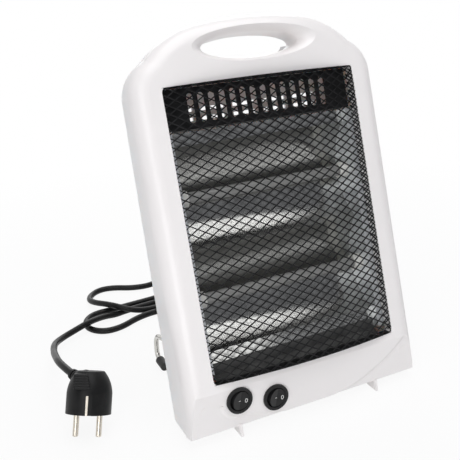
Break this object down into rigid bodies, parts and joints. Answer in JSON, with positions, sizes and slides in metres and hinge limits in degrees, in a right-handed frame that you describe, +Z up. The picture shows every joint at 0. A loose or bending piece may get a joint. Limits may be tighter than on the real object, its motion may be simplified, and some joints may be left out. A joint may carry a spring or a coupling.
{
  "type": "quartz heater",
  "caption": "Leaning quartz radiant heater with a carrying handle, bowed wire guard, two tubes, rocker switches, fold-out wire stand and mains lead.",
  "frame": {"origin": "on the floor under the middle of the heater and its stand, cord left out", "axes": "+Z up, the front looks along -Y and leans back, +X to the viewer's right"},
  "size_m": [0.3138, 0.3405, 0.3241],
  "materials": {
    "white_shell": "satin gloss moulding",
    "guard_black": "black painted steel",
    "polished_sheet": "bright rolled sheet",
    "zinc_steel": "zinc plated",
    "block_plastic": "matt moulding",
    "cord_black": "smooth sheath",
    "stand_zinc": "bright plated wire",
    "rubber_black": "matt rubber",
    "plug_black": "satin moulding",
    "pin_nickel": "nickel plated",
    "switch_black": "satin moulding",
    "blade_brass": "tinned brass",
    "cap_ceramic": "unglazed",
    "quartz": "milky quartz",
    "element_wire": "oxidised wire"
  },
  "bodies": {
    "heater": {"front_frame": "white_shell", "rear_cover": "white_shell", "guard_mesh": "guard_black", "reflector": "polished_sheet", "reflector_end_left": "polished_sheet", "reflector_end_right": "polished_sheet", "vent_panel": "guard_black", "lower_baffle": "guard_black", "quartz_tube_upper": "quartz", "quartz_tube_lower": "quartz", "heating_element_upper": "element_wire", "heating_element_lower": "element_wire", "ceramic_cap_upper_left": "cap_ceramic", "ceramic_cap_upper_right": "cap_ceramic", "ceramic_cap_lower_left": "cap_ceramic", "ceramic_cap_lower_right": "cap_ceramic", "switch_left": "switch_black", "switch_right": "switch_black", "switch_blades_left": "blade_brass", "switch_blades_right": "blade_brass", "case_screws": "zinc_steel", "terminal_block": "block_plastic", "cord_gland": "cord_black", "stand_bracket_left": "white_shell", "stand_bracket_right": "white_shell", "power_cord": "cord_black", "plug_body": "plug_black", "plug_pins": "pin_nickel", "plug_earth_clips": "pin_nickel", "plug_boot": "plug_black"},
    "stand": {"stand_wire": "stand_zinc", "stand_foot_left": "rubber_black", "stand_foot_right": "rubber_black"},
    "rocker_left": {"rocker_left": "switch_black"},
    "rocker_right": {"rocker_right": "switch_black"}
  },
  "joints": [
    {"name": "stand_fold", "type": "hinge", "parent": "heater", "child": "stand", "pos_m": [0, 0.00343, 0.052], "axis": [1, 0, 0], "range_deg": [0, 75]},
    {"name": "left_rocker_tilt", "type": "hinge", "parent": "heater", "child": "rocker_left", "pos_m": [-0.068, -0.06748, 0.03296], "axis": [-0.2185, -0.0872, -0.9719], "range_deg": [0, 20]},
    {"name": "right_rocker_tilt", "type": "hinge", "parent": "heater", "child": "rocker_right", "pos_m": [-0.0345, -0.06817, 0.02529], "axis": [-0.2185, -0.0872, -0.9719], "range_deg": [0, 20]}
  ]
}
